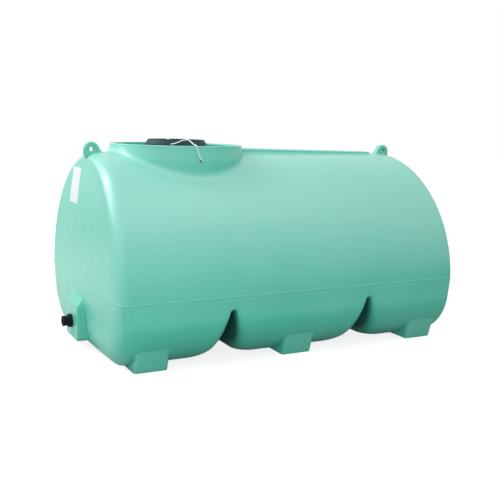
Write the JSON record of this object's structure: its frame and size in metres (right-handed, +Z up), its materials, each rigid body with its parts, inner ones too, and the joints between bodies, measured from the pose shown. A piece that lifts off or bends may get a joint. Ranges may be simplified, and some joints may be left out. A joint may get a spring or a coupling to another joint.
{
  "type": "liquid fertilizer tank",
  "caption": "Horizontal rotationally moulded tank with an arched body, bays parted by slots, feet, lifting lugs, a raised manway with a dark lid and a low outlet.",
  "frame": {"origin": "on the ground under the middle of the tank, at the centre of the six feet", "axes": "+X along the tank away from the outlet end, +Y across the tank to the rear, +Z up"},
  "size_m": [2.885, 1.83, 1.514],
  "materials": {
    "body_polyethylene": "rotationally moulded green polyethylene, satin, slightly uneven",
    "lid_polypropylene": "dark moulded polypropylene, satin",
    "rubber": "black rubber",
    "fitting_polypropylene": "black glass-filled polypropylene",
    "cord": "white braided cord"
  },
  "bodies": {
    "root": {"upper_shell": "body_polyethylene", "left_end": "body_polyethylene", "right_end": "body_polyethylene", "left_bay": "body_polyethylene", "middle_bay": "body_polyethylene", "right_bay": "body_polyethylene", "mould_seam": "body_polyethylene", "crown_rib": "body_polyethylene", "left_front_foot": "body_polyethylene", "middle_front_foot": "body_polyethylene", "right_front_foot": "body_polyethylene", "left_rear_foot": "body_polyethylene", "middle_rear_foot": "body_polyethylene", "right_rear_foot": "body_polyethylene", "left_lifting_lug": "body_polyethylene", "right_lifting_lug": "body_polyethylene", "turret_wall": "body_polyethylene", "turret_rim": "body_polyethylene", "basin_floor": "body_polyethylene", "manway_collar": "body_polyethylene", "outlet_boss": "body_polyethylene", "lid_gasket": "rubber", "manway_lid": "lid_polypropylene", "lid_grips": "lid_polypropylene", "lid_eye": "lid_polypropylene", "tether_eyelet": "rubber", "tether_cord": "cord", "outlet_gasket": "rubber", "outlet_fitting": "fitting_polypropylene", "outlet_back_nut": "fitting_polypropylene"}
  },
  "joints": []
}
